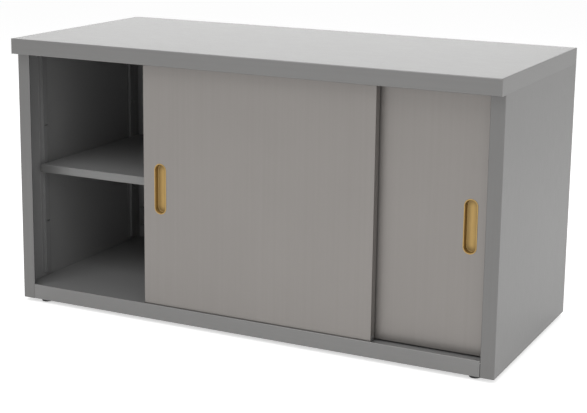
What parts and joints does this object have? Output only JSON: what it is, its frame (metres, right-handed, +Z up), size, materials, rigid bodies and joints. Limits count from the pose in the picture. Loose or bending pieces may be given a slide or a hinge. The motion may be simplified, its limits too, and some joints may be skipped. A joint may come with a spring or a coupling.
{
  "type": "sliding-door wall cupboard",
  "caption": "Stainless steel wall cupboard with hanging sliding doors that pass each other, flush pulls, an inner shelf and low feet.",
  "frame": {"origin": "middle of the footprint, level with the undersides of the feet", "axes": "+X to the right as seen from the front, +Y towards the wall behind, +Z up"},
  "size_m": [1.2, 0.545, 0.646],
  "materials": {
    "brushed_steel": "satin",
    "plain_steel": "satin",
    "zinc_steel": "satin",
    "brass": "satin",
    "board_core": "matte",
    "white_nylon": "matte",
    "black_plastic": "matte"
  },
  "bodies": {
    "cabinet": {"top_panel": "brushed_steel", "top_stiffener": "plain_steel", "left_side_panel": "brushed_steel", "right_side_panel": "brushed_steel", "back_panel": "brushed_steel", "upper_wall_rail": "plain_steel", "lower_wall_rail": "plain_steel", "bottom_panel": "brushed_steel", "bottom_stiffener": "plain_steel", "track_backing_plate": "plain_steel", "door_track": "plain_steel", "track_stops": "white_nylon", "floor_guide": "white_nylon", "left_front_pilaster": "plain_steel", "left_rear_pilaster": "plain_steel", "right_front_pilaster": "plain_steel", "right_rear_pilaster": "plain_steel", "shelf": "brushed_steel", "shelf_stiffener": "plain_steel", "shelf_clips": "plain_steel", "corner_plates": "plain_steel", "feet": "black_plastic"},
    "front_door": {"front_door_skin": "brushed_steel", "front_door_inner_skin": "brushed_steel", "front_door_core": "board_core", "front_door_bottom_channel": "plain_steel", "front_door_pull": "brass", "front_door_nut_plates": "zinc_steel", "front_door_hangers": "zinc_steel", "front_door_hanger_screws": "zinc_steel"},
    "rear_door": {"rear_door_skin": "brushed_steel", "rear_door_inner_skin": "brushed_steel", "rear_door_core": "board_core", "rear_door_bottom_channel": "plain_steel", "rear_door_pull": "brass", "rear_door_nut_plates": "zinc_steel", "rear_door_hangers": "zinc_steel", "rear_door_hanger_screws": "zinc_steel"},
    "front_door_left_wheels": {"front_door_left_wheels": "white_nylon"},
    "front_door_right_wheels": {"front_door_right_wheels": "white_nylon"},
    "rear_door_left_wheels": {"rear_door_left_wheels": "white_nylon"},
    "rear_door_right_wheels": {"rear_door_right_wheels": "white_nylon"}
  },
  "joints": [
    {"name": "front_door_slide", "type": "slide", "parent": "cabinet", "child": "front_door", "axis": [1, 0, 0], "range_m": [-0.3135, 0.2525]},
    {"name": "rear_door_slide", "type": "slide", "parent": "cabinet", "child": "rear_door", "axis": [1, 0, 0], "range_m": [-0.566, 0]},
    {"name": "front_door_left_wheels_turn", "type": "hinge", "parent": "front_door", "child": "front_door_left_wheels", "pos_m": [-0.1865, -0.232, 0.6266], "axis": [0, 1, 0], "range_deg": [-2246, 1809]},
    {"name": "front_door_right_wheels_turn", "type": "hinge", "parent": "front_door", "child": "front_door_right_wheels", "pos_m": [0.2475, -0.232, 0.6266], "axis": [0, 1, 0], "range_deg": [-2246, 1809]},
    {"name": "rear_door_left_wheels_turn", "type": "hinge", "parent": "rear_door", "child": "rear_door_left_wheels", "pos_m": [0.066, -0.207, 0.6266], "axis": [0, 1, 0], "range_deg": [-4055, 0]},
    {"name": "rear_door_right_wheels_turn", "type": "hinge", "parent": "rear_door", "child": "rear_door_right_wheels", "pos_m": [0.5, -0.207, 0.6266], "axis": [0, 1, 0], "range_deg": [-4055, 0]}
  ],
  "couplings": [
    {"joint": "front_door_left_wheels_turn", "follows": "front_door_slide", "rad_per_m": 125},
    {"joint": "front_door_right_wheels_turn", "follows": "front_door_slide", "rad_per_m": 125},
    {"joint": "rear_door_left_wheels_turn", "follows": "rear_door_slide", "rad_per_m": 125},
    {"joint": "rear_door_right_wheels_turn", "follows": "rear_door_slide", "rad_per_m": 125}
  ]
}
